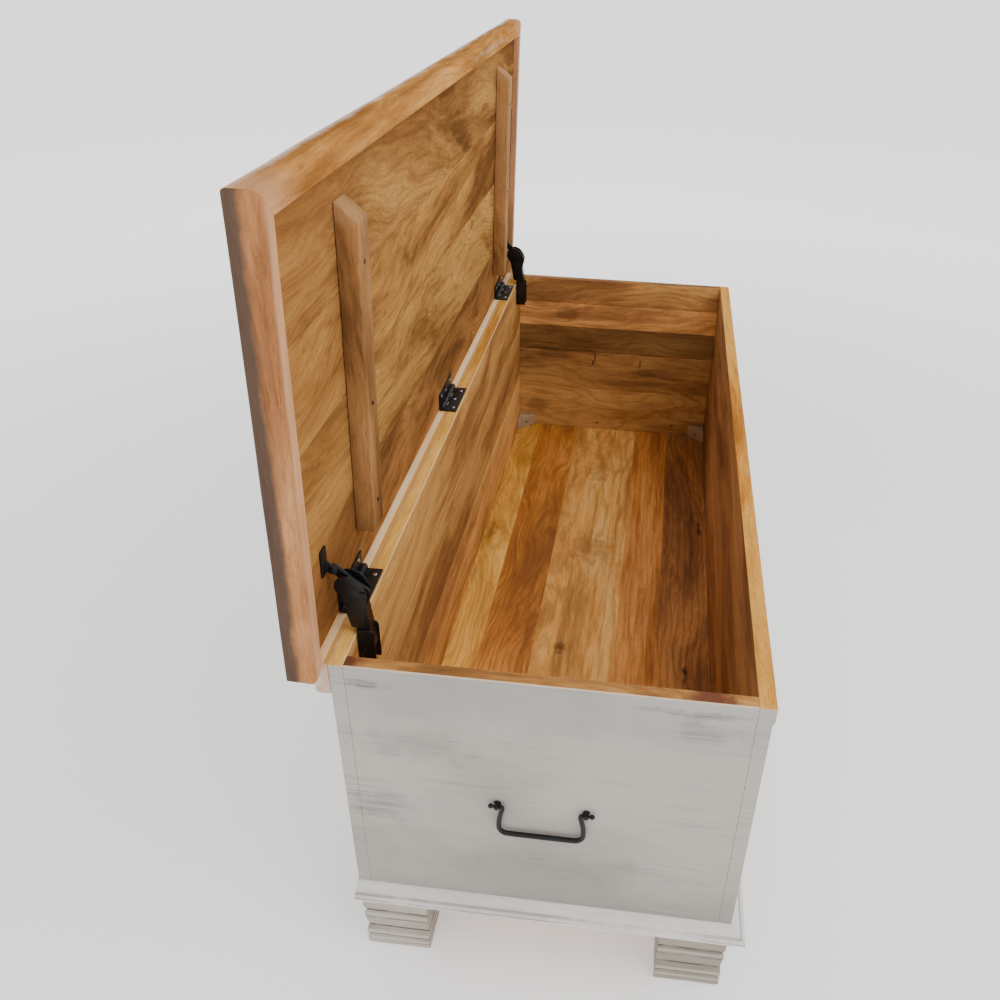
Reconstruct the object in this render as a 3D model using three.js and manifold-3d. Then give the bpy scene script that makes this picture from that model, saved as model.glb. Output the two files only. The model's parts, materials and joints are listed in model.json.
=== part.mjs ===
// Storage bench: a painted chest with a hinged lid, on a moulded plinth with four profiled block feet.
// Millimetres, +Z up. X runs along the bench, the front panel faces -Y and the hinged side is at +Y.
// The lid stands open, as it rests on its stays. The pieces are first placed in a working frame whose z = 0
// is the top of the plinth, and the group is then moved so its bounding box stands centred on the origin.
import * as THREE from "three";
import Module from "manifold-3d";

const GAP = 0.3; // between neighbouring pieces

// Carcass
const LENGTH = 1150;
const WIDTH = 430;
const PANEL_H = 336;
const WALL = 15;
const LIP_OUT = 2; // band along the top of the front panel
const LIP_H = 18;
const RAIL_OUT = 16; // rail behind the top of the back panel, which carries the hinges
const RAIL_H = 40;
const RAIL_R = 5;
const FLOOR_TOP = 4;
const FLOOR_T = 12;
const FLOOR_SEAMS = [-122, -55, 70, 150]; // joints between the floor boards, across the chest
const BLOCK = 34; // legs of the triangular glue blocks in the floor's corners
const BLOCK_H = 24;
const BEARER_W = 45;
const BEARER_X = 190;

// Plinth and feet
const PLINTH_H = 27.5;
const PLINTH_OUT = 16.5;
const PLINTH_IN = 25; // how far the plinth reaches in under the panels
const LEDGE_IN = 10;
const FOOT = 78;
const FOOT_H = 99.2;

// Lid
const OPEN_DEG = 88;
const PIN_OUT = 8.5; // hinge pin axis from the back panel's outer face
const PIN_UP = 4.5; // and above the panel's top edge
const LID_REACH = 454; // pin axis to the lid's front edge
const LID_BACK = 3.8; // pin axis to the lid's back edge
const LID_OVER = 25; // beyond each end of the carcass
const RIM_W = 24;
const RIM_R = 8;
const RIM_FACE = -4.1; // underside of the rim, from the pin axis
const LID_TOP = 26;
const BOARD_FACE = 4.5; // underside of the lid's boards, from the pin axis
const LID_SEAMS = [93, 215, 318]; // joints between the lid's boards, from the pin axis
const RIM_BACK = 11; // the end rims run on this far behind the pin axis, outside the carcass's ends
const RIM_END_R = 12;
const RIM_TIP_R = 5;
const BATTEN_IN = 146; // outer side of a batten, from the carcass's end
const BATTEN_W = 32;
const BATTEN_T = 21;
const BATTEN_FROM = 52;
const BATTEN_TO = 401;
const BATTEN_BEVEL = 16;

// Butt hinges
const HINGE_L = 77;
const HINGE_IN = 114.5; // centre of an outer hinge, from the carcass's end
const LEAF_T = 1.8;
const LEAF_REACH = 21;
const LID_LEAF_REACH = 21;
const KNUCKLES = 5;
const BARREL_R = 4;
const BORE_R = 2.3;
const PIN_R = 2;

// Lid stays: a housing on the back panel, a channel that turns in it and an arm up to the lid's bracket.
// The hinge pin, the housing's pivot, the knuckle and the bracket's rivet stand at the corners of a
// parallelogram, so the arm keeps its slope while the channel turns with the lid.
const PIVOT_Y = 194;
const PIVOT_Z = 315;
const RIVET_U = 70.6; // bracket rivet along the lid, from the pin axis
const RIVET_V = -2.5;
const STAY_X = 46; // housing's outer cheek, from the carcass's end face
const STAY_W = 18.6;
const CHEEK_T = 1.5;
const HOUSING_Y = 182;
const HOUSING_Z = 295;
const HOUSING_TOP = 342;
const WEB_TOP = 371;
const ARM_T = 4;
const ARM_R = 4.5;
const STAY_PIN_R = 2.2;

// Drop handles
const HANDLE_Y = 2.5;
const HANDLE_Z = 161.8;
const HANDLE_OUT = 5; // bail's rod from the end face
const STUD_AT = 47.2;
const STUD_R = 3;
const BALL_AT = 53.6;
const BALL_R = 3;
const NECK_R = 1.6;
const ROD_R = 2.7;
const GRIP_R = 3;
const DROP = 41.4;

const END = LENGTH / 2;
const BACK = WIDTH / 2;
const PIN_Y = BACK + PIN_OUT;
const PIN_Z = PANEL_H + PIN_UP;
const OPEN = THREE.MathUtils.degToRad(OPEN_DEG);

const wasm = await Module();
wasm.setup();

const PAINT = new THREE.MeshStandardMaterial({ color: 0xd8d6d0, roughness: 0.62, metalness: 0 });
const WOOD = new THREE.MeshStandardMaterial({ color: 0xb9813f, roughness: 0.5, metalness: 0 });
const RIM_WOOD = new THREE.MeshStandardMaterial({ color: 0xc08a5c, roughness: 0.5, metalness: 0 });
const IRON = new THREE.MeshStandardMaterial({ color: 0x17171a, roughness: 0.42, metalness: 0.85 });

const group = new THREE.Group();
const lid = new THREE.Group(); // its own frame: origin on the pin axis, -Y to the lid's front, +Z its top
lid.position.set(0, PIN_Y, PIN_Z);
lid.rotation.x = -OPEN;
group.add(lid);

function add(name, geometry, material, parent = group) {
  const mesh = new THREE.Mesh(geometry, material);
  mesh.name = name;
  parent.add(mesh);
}

// A closed surface over rings of equal point count, with the given cap triangles, turned to face out.
function loft(rings, cap) {
  const n = rings[0].length;
  const points = rings.flat();
  const faces = [];
  for (let r = 0; r + 1 < rings.length; r++)
    for (let i = 0; i < n; i++) {
      const a = r * n + i;
      const b = r * n + ((i + 1) % n);
      faces.push([a, b, b + n], [a, b + n, a + n]);
    }
  const last = (rings.length - 1) * n;
  for (const [a, b, c] of cap) faces.push([c, b, a], [a + last, b + last, c + last]);
  const volume = faces.reduce((sum, [a, b, c]) => {
    const [p, q, r] = [a, b, c].map((i) => new THREE.Vector3(...points[i]));
    return sum + p.dot(q.cross(r));
  }, 0);
  const out = volume < 0 ? faces.map(([a, b, c]) => [a, c, b]) : faces;
  const geometry = new THREE.BufferGeometry();
  geometry.setAttribute("position", new THREE.Float32BufferAttribute(points.flat(), 3));
  geometry.setIndex(out.flat());
  geometry.computeVertexNormals();
  return geometry;
}

const fan = (n) => Array.from({ length: n - 2 }, (_, i) => [0, i + 1, i + 2]);

// A profile of [a, b] points carried along s. Each end may be mitred: it lies at s = start + slope * a.
function sweep(profile, [s0, slope0], [s1, slope1], place) {
  const contour = profile.map(([a, b]) => new THREE.Vector2(a, b));
  if (THREE.ShapeUtils.isClockWise(contour)) contour.reverse();
  const ring = (s, slope) => contour.map(({ x: a, y: b }) => place(a, b, s + slope * a));
  return loft([ring(s0, slope0), ring(s1, slope1)], THREE.ShapeUtils.triangulateShape(contour, []));
}

const box = (x0, x1, y0, y1, z0, z1) =>
  sweep([[y0, z0], [y1, z0], [y1, z1], [y0, z1]], [x0, 0], [x1, 0], (y, z, x) => [x, y, z]);

const arc = (ca, cb, r, from, to, steps) =>
  Array.from({ length: steps + 1 }, (_, i) => {
    const t = THREE.MathUtils.degToRad(from + ((to - from) * i) / steps);
    return [ca + r * Math.cos(t), cb + r * Math.sin(t)];
  });

const circle = (ca, cb, r, steps) => arc(ca, cb, r, 0, 360, steps).slice(0, -1);

// A round bar or hole of circular section along X.
const roundX = (x0, x1, y, z, r, steps = 16) =>
  sweep(circle(y, z, r, steps), [x0, 0], [x1, 0], (a, b, x) => [x, a, b]);

const manifold = (geometry) =>
  new wasm.Manifold(
    new wasm.Mesh({
      numProp: 3,
      vertProperties: geometry.attributes.position.array,
      triVerts: new Uint32Array(geometry.index.array),
    }),
  );

function joined(plus, minus = []) {
  const whole = plus.map(manifold).reduce((m, g) => m.add(g));
  const made = minus.reduce((m, g) => m.subtract(manifold(g)), whole);
  const { vertProperties, triVerts } = made.getMesh();
  const geometry = new THREE.BufferGeometry();
  geometry.setAttribute("position", new THREE.BufferAttribute(vertProperties, 3));
  geometry.setIndex(new THREE.BufferAttribute(triVerts, 1));
  geometry.computeVertexNormals();
  return geometry;
}

// Carcass panels: the ends stand between the full-length front and back.
const alongX = (y, z, x) => [x, y, z];
add(
  "front_panel",
  sweep(
    [
      [-BACK + WALL, GAP],
      [-BACK + WALL, PANEL_H],
      [-BACK - LIP_OUT, PANEL_H],
      [-BACK - LIP_OUT, PANEL_H - LIP_H],
      [-BACK - LIP_OUT * 0.45, PANEL_H - LIP_H - 1.4],
      [-BACK, PANEL_H - LIP_H - 4.5],
      [-BACK, GAP],
    ],
    [-END, 0],
    [END, 0],
    alongX,
  ),
  PAINT,
);
add("back_panel", box(-END, END, BACK - WALL, BACK, GAP, PANEL_H), PAINT);
add(
  "back_rail",
  sweep(
    [
      [BACK + GAP, PANEL_H],
      [BACK + GAP, PANEL_H - RAIL_H],
      ...arc(BACK + RAIL_OUT - RAIL_R, PANEL_H - RAIL_H + RAIL_R, RAIL_R, -90, 0, 5),
      [BACK + RAIL_OUT, PANEL_H],
    ],
    [-END, 0],
    [END, 0],
    alongX,
  ),
  PAINT,
);
const panelY = BACK - WALL - GAP;
for (const [side, s] of [["left", -1], ["right", 1]]) {
  const [x0, x1] = [s * END, s * (END - WALL)].sort((a, b) => a - b);
  add(side + "_panel", box(x0, x1, -panelY, panelY, GAP, PANEL_H), PAINT);
}

// Floor boards lie on the plinth's ledge and on two bearers let in under them.
const floorX = END - WALL - GAP * 2;
const floorY = BACK - WALL - GAP * 2;
const floorEdges = [-floorY - GAP / 2, ...FLOOR_SEAMS, floorY + GAP / 2];
for (let i = 0; i + 1 < floorEdges.length; i++) {
  const [y0, y1] = [floorEdges[i] + GAP / 2, floorEdges[i + 1] - GAP / 2];
  add("floor_board_" + (i + 1), box(-floorX, floorX, y0, y1, FLOOR_TOP - FLOOR_T, FLOOR_TOP), WOOD);
}
for (const [row, sy] of [["front", -1], ["back", 1]])
  for (const [side, sx] of [["left", -1], ["right", 1]]) {
    const corner = [[floorX, floorY], [floorX - BLOCK, floorY], [floorX, floorY - BLOCK]];
    const outline = corner.map(([x, y]) => [sx * x, sy * y]);
    const [z0, z1] = [FLOOR_TOP + GAP, FLOOR_TOP + BLOCK_H];
    add(
      "corner_block_" + row + "_" + side,
      sweep(outline, [z0, 0], [z1, 0], (x, y, z) => [x, y, z]),
      WOOD,
    );
  }
const ledgeZ = FLOOR_TOP - FLOOR_T - GAP;
const bearerY = BACK - PLINTH_IN - GAP;
[-1, 1].forEach((s, i) =>
  add(
    "floor_bearer_" + (i + 1),
    box(s * BEARER_X - BEARER_W / 2, s * BEARER_X + BEARER_W / 2, -bearerY, bearerY, -PLINTH_H, ledgeZ),
    WOOD,
  ),
);

// Plinth: a weathered slope, a rounded nose and a recessed fillet, mitred at the two front corners.
const inner = [
  [-WALL, 0],
  [-WALL, ledgeZ],
  [-WALL - LEDGE_IN, ledgeZ],
  [-WALL - LEDGE_IN, -PLINTH_H],
];
const moulding = [
  ...inner,
  [5, -PLINTH_H],
  [5, -21],
  [10, -20.6],
  ...arc(PLINTH_OUT - 4.5, -14.4, 4.5, -62, 72, 6),
  [10.4, -8.6],
  [6.6, -5.6],
  [3, -2.2],
  [1.2, -0.5],
  [0, 0],
];
add(
  "plinth_front",
  sweep(moulding, [-END + GAP, -1], [END - GAP, 1], (p, z, x) => [x, -BACK - p, z]),
  PAINT,
);
for (const [side, s] of [["left", -1], ["right", 1]])
  add(
    "plinth_" + side,
    sweep(moulding, [-BACK, -1], [BACK + 1.5, 0], (p, z, y) => [s * (END + p), y, z]),
    PAINT,
  );
const backX = END - PLINTH_IN - GAP;
add(
  "plinth_back",
  sweep([...inner, [0, -PLINTH_H], [0, 0]], [-backX, 0], [backX, 0], (p, z, x) => [x, BACK + p, z]),
  PAINT,
);

// Feet: the two outward faces carry the profile, given as depth below the top and how far it is set back.
const footProfile = [
  [0, 3],
  [1.6, 3],
  [3.2, 0.9],
  [5.5, 0],
  [23, 0],
  [27.5, 0.6],
  [30.5, 2],
  [32, 4],
  [34.5, 4],
  [36.5, 1.2],
  [39, 0.2],
  [42, 0.2],
  [44, 1],
  [49, 1.3],
  [56, 2],
  [61, 3],
  [64, 4.2],
  [66.5, 4.6],
  [68.5, 4.4],
  [70.5, 1.6],
  [73, 0.4],
  [76.5, 0.4],
  [78.5, 1.4],
  [79.5, 2.8],
  [81.5, 2.8],
  [83.5, 1.2],
  [86, 0.8],
  [94.5, 0.8],
  [97.6, 1.6],
  [FOOT_H, 3.6],
];
const footTop = -PLINTH_H - GAP;
for (const [row, sy] of [["front", -1], ["back", 1]])
  for (const [side, sx] of [["left", -1], ["right", 1]])
    add(
      "foot_" + row + "_" + side,
      loft(
        footProfile.map(([down, back]) => {
          const [x0, x1, y0, y1] = [END - FOOT, END - back, BACK - FOOT, BACK - back];
          return [[x0, y0], [x1, y0], [x1, y1], [x0, y1]].map(([x, y]) => [sx * x, sy * y, footTop - down]);
        }),
        fan(4),
      ),
      PAINT,
    );

// Lid: boards inside a rim with mitred front corners.
const rimInX = END + LID_OVER - RIM_W;
const rimInY = LID_REACH - RIM_W;
const rim = [
  [0, LID_TOP],
  [0, RIM_FACE],
  ...arc(RIM_W - RIM_R, RIM_FACE + RIM_R, RIM_R, -90, 0, 6),
  ...arc(RIM_W - RIM_R, LID_TOP - RIM_R, RIM_R, 0, 90, 6),
];
add(
  "lid_rim_front",
  sweep(rim, [-rimInX + GAP, -1], [rimInX - GAP, 1], (a, v, x) => [x, -rimInY - a, v]),
  RIM_WOOD,
  lid,
);
const lidEdges = [-LID_BACK, ...LID_SEAMS, rimInY - GAP / 2];
for (let i = 0; i + 1 < lidEdges.length; i++) {
  const [y0, y1] = [-lidEdges[i + 1] + GAP / 2, -lidEdges[i] - GAP / 2];
  add(
    "lid_board_" + (i + 1),
    box(GAP - rimInX, rimInX - GAP, y0, y1, BOARD_FACE, LID_TOP - GAP),
    WOOD,
    lid,
  );
}
for (const [side, s] of [["left", -1], ["right", 1]]) {
  const place = (a, v, y) => [s * (rimInX + a), y, v];
  const endCut = (a0, r, from) => {
    const round = arc(a0, RIM_BACK - r, r, from, 90, 6);
    const side = a0 + (from ? -r - 1 : r + 1);
    return [[side, RIM_BACK + 1], [side, RIM_BACK - r], ...round, [a0, RIM_BACK + 1]];
  };
  add(
    "lid_rim_" + side,
    joined(
      [sweep(rim, [-rimInY, -1], [RIM_BACK, 0], place)],
      [endCut(RIM_END_R, RIM_END_R, 180), endCut(RIM_W - RIM_TIP_R, RIM_TIP_R, 0)].map((cut) =>
        sweep(cut, [RIM_FACE - 1, 0], [LID_TOP + 1, 0], (a, y, v) => place(a, v, y)),
      ),
    ),
    RIM_WOOD,
    lid,
  );
  const battenFace = BOARD_FACE - GAP;
  const battenX = END - BATTEN_IN;
  add(
    "lid_batten_" + side,
    sweep(
      [
        [-BATTEN_FROM, battenFace],
        [-BATTEN_FROM, battenFace - BATTEN_T],
        [BATTEN_BEVEL - BATTEN_TO, battenFace - BATTEN_T],
        [-BATTEN_TO, battenFace],
      ],
      [s * battenX, 0],
      [s * (battenX - BATTEN_W), 0],
      alongX,
    ),
    WOOD,
    lid,
  );
}

// Butt hinges. Both leaves are drawn in the lid's frame as for a closed lid: up = 1 is the lid's leaf.
function leaf(centre, up, reach, parity) {
  const step = HINGE_L / KNUCKLES;
  const x0 = centre - HINGE_L / 2;
  const inside = up * BARREL_R;
  const [z0, z1] = [inside, inside - up * LEAF_T].sort((a, b) => a - b);
  const parts = [box(x0, x0 + HINGE_L, -reach, -BARREL_R - 0.6, z0, z1)];
  const bores = [];
  for (let k = parity; k < KNUCKLES; k += 2) {
    const a = x0 + k * step + (k ? GAP / 2 : 0);
    const b = x0 + (k + 1) * step - (k < KNUCKLES - 1 ? GAP / 2 : 0);
    parts.push(roundX(a, b, 0, 0, BARREL_R, 20), box(a, b, -BARREL_R - 1, 0, z0, z1));
    bores.push(roundX(a - 1, b + 1, 0, 0, BORE_R));
  }
  return joined(parts, bores);
}
[-(END - HINGE_IN), 0, END - HINGE_IN].forEach((centre, i) => {
  add("hinge_lid_leaf_" + (i + 1), leaf(centre, 1, LID_LEAF_REACH, 1), IRON, lid);
  add("hinge_base_leaf_" + (i + 1), leaf(centre, -1, LEAF_REACH, 0).translate(0, PIN_Y, PIN_Z), IRON);
  const half = HINGE_L / 2;
  const tip = (s) => roundX(centre + s * (half + GAP), centre + s * (half + 1.4), PIN_Y, PIN_Z, 3, 16);
  add(
    "hinge_pin_" + (i + 1),
    joined([roundX(centre - half - 1, centre + half + 1, PIN_Y, PIN_Z, PIN_R, 12), tip(-1), tip(1)]),
    IRON,
  );
});

// Lid stays. The bracket's rivet at rest gives the knuckle, by the parallelogram.
const rivetY = PIN_Y - RIVET_U * Math.cos(OPEN) + RIVET_V * Math.sin(OPEN);
const rivetZ = PIN_Z + RIVET_U * Math.sin(OPEN) + RIVET_V * Math.cos(OPEN);
const kneeY = rivetY - (PIN_Y - PIVOT_Y);
const kneeZ = rivetZ - (PIN_Z - PIVOT_Z);
const WALL_Y = BACK - WALL - GAP;
const housing = [
  [WALL_Y, HOUSING_Z],
  [WALL_Y, HOUSING_TOP],
  [HOUSING_Y + 5, HOUSING_TOP],
  [HOUSING_Y + 1.5, HOUSING_TOP - 1.5],
  [HOUSING_Y, HOUSING_TOP - 5],
  [HOUSING_Y, HOUSING_Z + 1],
  [HOUSING_Y + 1, HOUSING_Z],
];
// Front side of the channel, which the web follows, and then the cheek's head and back.
const front0 = [183, 319];
const front1 = [188.4, WEB_TOP];
const cheek = [
  front0,
  front1,
  [kneeY - 2.6, kneeZ - 8],
  [kneeY - 3.3, kneeZ - 2],
  [kneeY - 2.8, kneeZ + 4.5],
  [kneeY + 0.8, kneeZ + 12],
  [kneeY + 6, kneeZ + 18],
  [kneeY + 14, kneeZ + 21.5],
  [kneeY + 22.5, kneeZ + 20.5],
  [kneeY + 28, kneeZ + 14.5],
  [kneeY + 29.4, kneeZ + 6.5],
  [kneeY + 26.5, kneeZ - 0.5],
  [kneeY + 22, kneeZ - 6],
  [kneeY + 20.5, kneeZ - 14],
  [kneeY + 19, kneeZ - 26],
  [PIVOT_Y + 12, HOUSING_TOP + 6],
  [PIVOT_Y + 10.5, HOUSING_TOP + 2],
  [PIVOT_Y + 4, HOUSING_TOP + 0.6],
  ...arc(PIVOT_Y, PIVOT_Z, 4, 0, -100, 5),
  [185, 313.5],
];
for (const [side, s] of [["left", -1], ["right", 1]]) {
  const across = (d, thick) => [[s * (END - d), 0], [s * (END - d - thick), 0]];
  const bar = (d, thick, y, z, r, steps) => sweep(circle(y, z, r, steps), ...across(d, thick), alongX);
  const slab = (d, thick, outline) => sweep(outline, ...across(d, thick), alongX);

  add(
    "stay_housing_" + side,
    joined([
      slab(STAY_X, CHEEK_T, housing),
      slab(STAY_X + STAY_W - CHEEK_T, CHEEK_T, housing),
      slab(STAY_X + 0.5, STAY_W - 1, [
        [WALL_Y, HOUSING_Z],
        [WALL_Y, HOUSING_TOP],
        [WALL_Y - 1.4, HOUSING_TOP],
        [WALL_Y - 1.4, HOUSING_Z],
      ]),
      bar(STAY_X - 1.2, STAY_W + 2.4, PIVOT_Y, PIVOT_Z, STAY_PIN_R, 14),
      bar(STAY_X - 1.2, 1.3, PIVOT_Y, PIVOT_Z, 4, 16),
      bar(STAY_X + STAY_W - 0.1, 1.3, PIVOT_Y, PIVOT_Z, 4, 16),
    ]),
    IRON,
  );

  const channelX = STAY_X + CHEEK_T + 0.6;
  const channelW = STAY_W - 2 * (CHEEK_T + 0.6);
  const web = [front0, front1, [front1[0] + CHEEK_T, front1[1]], [front0[0] + CHEEK_T, front0[1]]];
  add(
    "stay_channel_" + side,
    joined(
      [
        slab(channelX, CHEEK_T, cheek),
        slab(channelX + channelW - CHEEK_T, CHEEK_T, cheek),
        slab(channelX + 0.5, channelW - 1, web),
      ],
      [
        bar(channelX - 1, channelW + 2, PIVOT_Y, PIVOT_Z, STAY_PIN_R + 0.3, 14),
        bar(channelX - 1, channelW + 2, kneeY, kneeZ, STAY_PIN_R + 0.3, 14),
      ],
    ),
    IRON,
  );

  const armX = STAY_X + STAY_W / 2 - ARM_T / 2;
  const turn = THREE.MathUtils.radToDeg(Math.atan2(rivetZ - kneeZ, rivetY - kneeY));
  const arm = [
    ...arc(rivetY, rivetZ, ARM_R, turn - 90, turn + 90, 8),
    ...arc(kneeY, kneeZ, ARM_R, turn + 90, turn + 270, 8),
  ];
  add(
    "stay_arm_" + side,
    joined([
      slab(armX, ARM_T, arm),
      bar(channelX - GAP - 0.5, channelW + 1.6, kneeY, kneeZ, STAY_PIN_R, 14),
      bar(channelX - GAP - 1.2, 1.2, kneeY, kneeZ, 4, 16),
      bar(channelX + channelW + GAP, 1.2, kneeY, kneeZ, 4, 16),
    ]),
    IRON,
  );

  const ear = [
    [-RIVET_U - 13, BOARD_FACE - 1],
    ...arc(-RIVET_U, RIVET_V, 5, 205, 335, 7),
    [-RIVET_U + 2, BOARD_FACE - 1],
  ];
  const earX = armX - 0.9 - LEAF_T;
  const plateTop = BOARD_FACE - GAP;
  add(
    "stay_bracket_" + side,
    joined([
      slab(earX, LEAF_T, ear),
      slab(earX - 12, 12 + LEAF_T, [
        [-RIVET_U - 29, plateTop - LEAF_T],
        [-RIVET_U + 1, plateTop - LEAF_T],
        [-RIVET_U + 1, plateTop],
        [-RIVET_U - 29, plateTop],
      ]),
      bar(earX - 1.4, 1.6, -RIVET_U, RIVET_V, 3.4, 14),
    ]),
    IRON,
    lid,
  );
}

// Drop handles: a stud each side, bored across, and a bail whose necks turn in the bores and end in balls.
const half = [
  ...[78, 52, 26, 0, -26, -50].map((t) => {
    const turn = THREE.MathUtils.degToRad(t);
    return [BALL_AT + BALL_R * Math.sin(turn), 0, BALL_R * Math.cos(turn)];
  }),
  [BALL_AT - BALL_R + 0.4, 0, NECK_R],
  [STUD_AT - STUD_R - 0.4, 0, NECK_R],
  [STUD_AT - STUD_R - 0.45, 0, 2.3],
  [STUD_AT - STUD_R - 1.1, -0.1, ROD_R],
  [STUD_AT - STUD_R - 2.4, -1.1, ROD_R],
  [STUD_AT - STUD_R - 2.9, -2.9, ROD_R],
  [STUD_AT - STUD_R - 2.4, -5.6, ROD_R],
  [44, -14, ROD_R],
  [45.4, -25, ROD_R],
  ...arc(35.4, -DROP + 10, 10, 0, -90, 7).map(([y, z], i) => [y, z, ROD_R + ((GRIP_R - ROD_R) * i) / 7]),
];
const bailPath = [...half, ...half.map(([y, z, r]) => [-y, z, r]).reverse()];
function bail(s) {
  const at = (i) => new THREE.Vector2(bailPath[i][0], bailPath[i][1]);
  const last = bailPath.length - 1;
  const rings = bailPath.map(([y, z, r], i) => {
    const before = i ? at(i).sub(at(i - 1)).normalize() : null;
    const after = i < last ? at(i + 1).sub(at(i)).normalize() : null;
    const tangent = before && after ? before.clone().add(after).normalize() : (before || after).clone();
    const stretch = before ? 1 / Math.max(0.7, tangent.dot(before)) : 1;
    return circle(0, 0, r, 14).map(([c, d]) => [
      s * (END + HANDLE_OUT + d),
      HANDLE_Y + y - tangent.y * c * stretch,
      HANDLE_Z + z + tangent.x * c * stretch,
    ]);
  });
  return loft(rings, fan(14));
}
for (const [side, s] of [["left", -1], ["right", 1]]) {
  add("bail_" + side, bail(s), IRON);
  [-1, 1].forEach((sy, i) => {
    const turned = [
      [GAP, STUD_R + 1],
      [GAP + 0.8, STUD_R + 1],
      [GAP + 1.2, STUD_R],
      [HANDLE_OUT + 2.4, STUD_R],
      [HANDLE_OUT + 3.4, STUD_R - 0.7],
      [HANDLE_OUT + 3.8, STUD_R - 1.9],
    ];
    const rings = turned.map(([d, r]) =>
      circle(HANDLE_Y + sy * STUD_AT, HANDLE_Z, r, 18).map(([y, z]) => [s * (END + d), y, z]),
    );
    const bore = sweep(
      circle(END + HANDLE_OUT, HANDLE_Z, NECK_R + GAP, 14),
      [HANDLE_Y + sy * (STUD_AT - 6), 0],
      [HANDLE_Y + sy * (STUD_AT + 6), 0],
      (x, z, y) => [s * x, y, z],
    );
    add("handle_stud_" + side + "_" + (i + 1), joined([loft(rings, fan(18))], [bore]), IRON);
  });
}

const bounds = new THREE.Box3().setFromObject(group, true);
group.position.set(0, -(bounds.min.y + bounds.max.y) / 2, -bounds.min.z);

export default group;
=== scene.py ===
import json
import math
import random

import bmesh
import bpy
from mathutils import Matrix, Vector, noise


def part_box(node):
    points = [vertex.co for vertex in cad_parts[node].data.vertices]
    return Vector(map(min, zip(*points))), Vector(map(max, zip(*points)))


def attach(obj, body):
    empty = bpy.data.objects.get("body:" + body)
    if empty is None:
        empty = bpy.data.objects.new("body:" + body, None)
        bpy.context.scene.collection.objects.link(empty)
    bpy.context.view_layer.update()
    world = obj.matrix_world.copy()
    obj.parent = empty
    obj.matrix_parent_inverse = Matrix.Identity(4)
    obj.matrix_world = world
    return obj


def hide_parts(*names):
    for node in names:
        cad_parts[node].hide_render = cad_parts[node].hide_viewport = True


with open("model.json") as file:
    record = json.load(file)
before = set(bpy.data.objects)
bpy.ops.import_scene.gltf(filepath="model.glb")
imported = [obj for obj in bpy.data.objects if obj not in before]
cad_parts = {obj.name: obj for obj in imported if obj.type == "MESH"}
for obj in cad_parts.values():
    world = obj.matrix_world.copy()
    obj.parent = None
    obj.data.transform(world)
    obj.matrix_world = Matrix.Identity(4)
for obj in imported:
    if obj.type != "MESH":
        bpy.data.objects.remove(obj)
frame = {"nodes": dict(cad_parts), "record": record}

scene = bpy.context.scene
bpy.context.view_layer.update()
nodes = frame["nodes"]
slots = {s["node"]: s["material_slot"] for s in frame["record"]["subparts"]}
SIDES = (("left", -1), ("right", 1))

# Places taken from the frame, in metres.
front_lo, front_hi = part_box("front_panel")
back_lo, back_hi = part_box("back_panel")
end_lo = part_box("right_panel")[0]
floor_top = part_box("floor_board_1")[1].z
END = front_hi.x
TOP = front_hi.z
WALL = back_hi.y - back_lo.y
hinge = next(j for j in frame["record"]["behaviour"]["joints"] if j["name"] == "lid_hinge")
PIN = Vector(hinge["pos_m"])
OPEN = math.radians(hinge["range_deg"][1])


def lid_point(x, u, v):
    """u runs from the hinge pin towards the lid's front edge and v towards its top."""
    c, s = math.cos(OPEN), math.sin(OPEN)
    return Vector((x, PIN.y - u * c + v * s, PIN.z + u * s + v * c))


LID = Matrix(((1, 0, 0), (0, -math.cos(OPEN), math.sin(OPEN)), (0, math.sin(OPEN), math.cos(OPEN)))).to_4x4()
LID.translation = PIN  # maps (x, u, v) to the row frame


def lid_box(node):
    inv = LID.inverted()
    co = [inv @ v.co for v in nodes[node].data.vertices]
    return [Vector(f(c[i] for c in co) for i in range(3)) for f in (min, max)]


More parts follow.
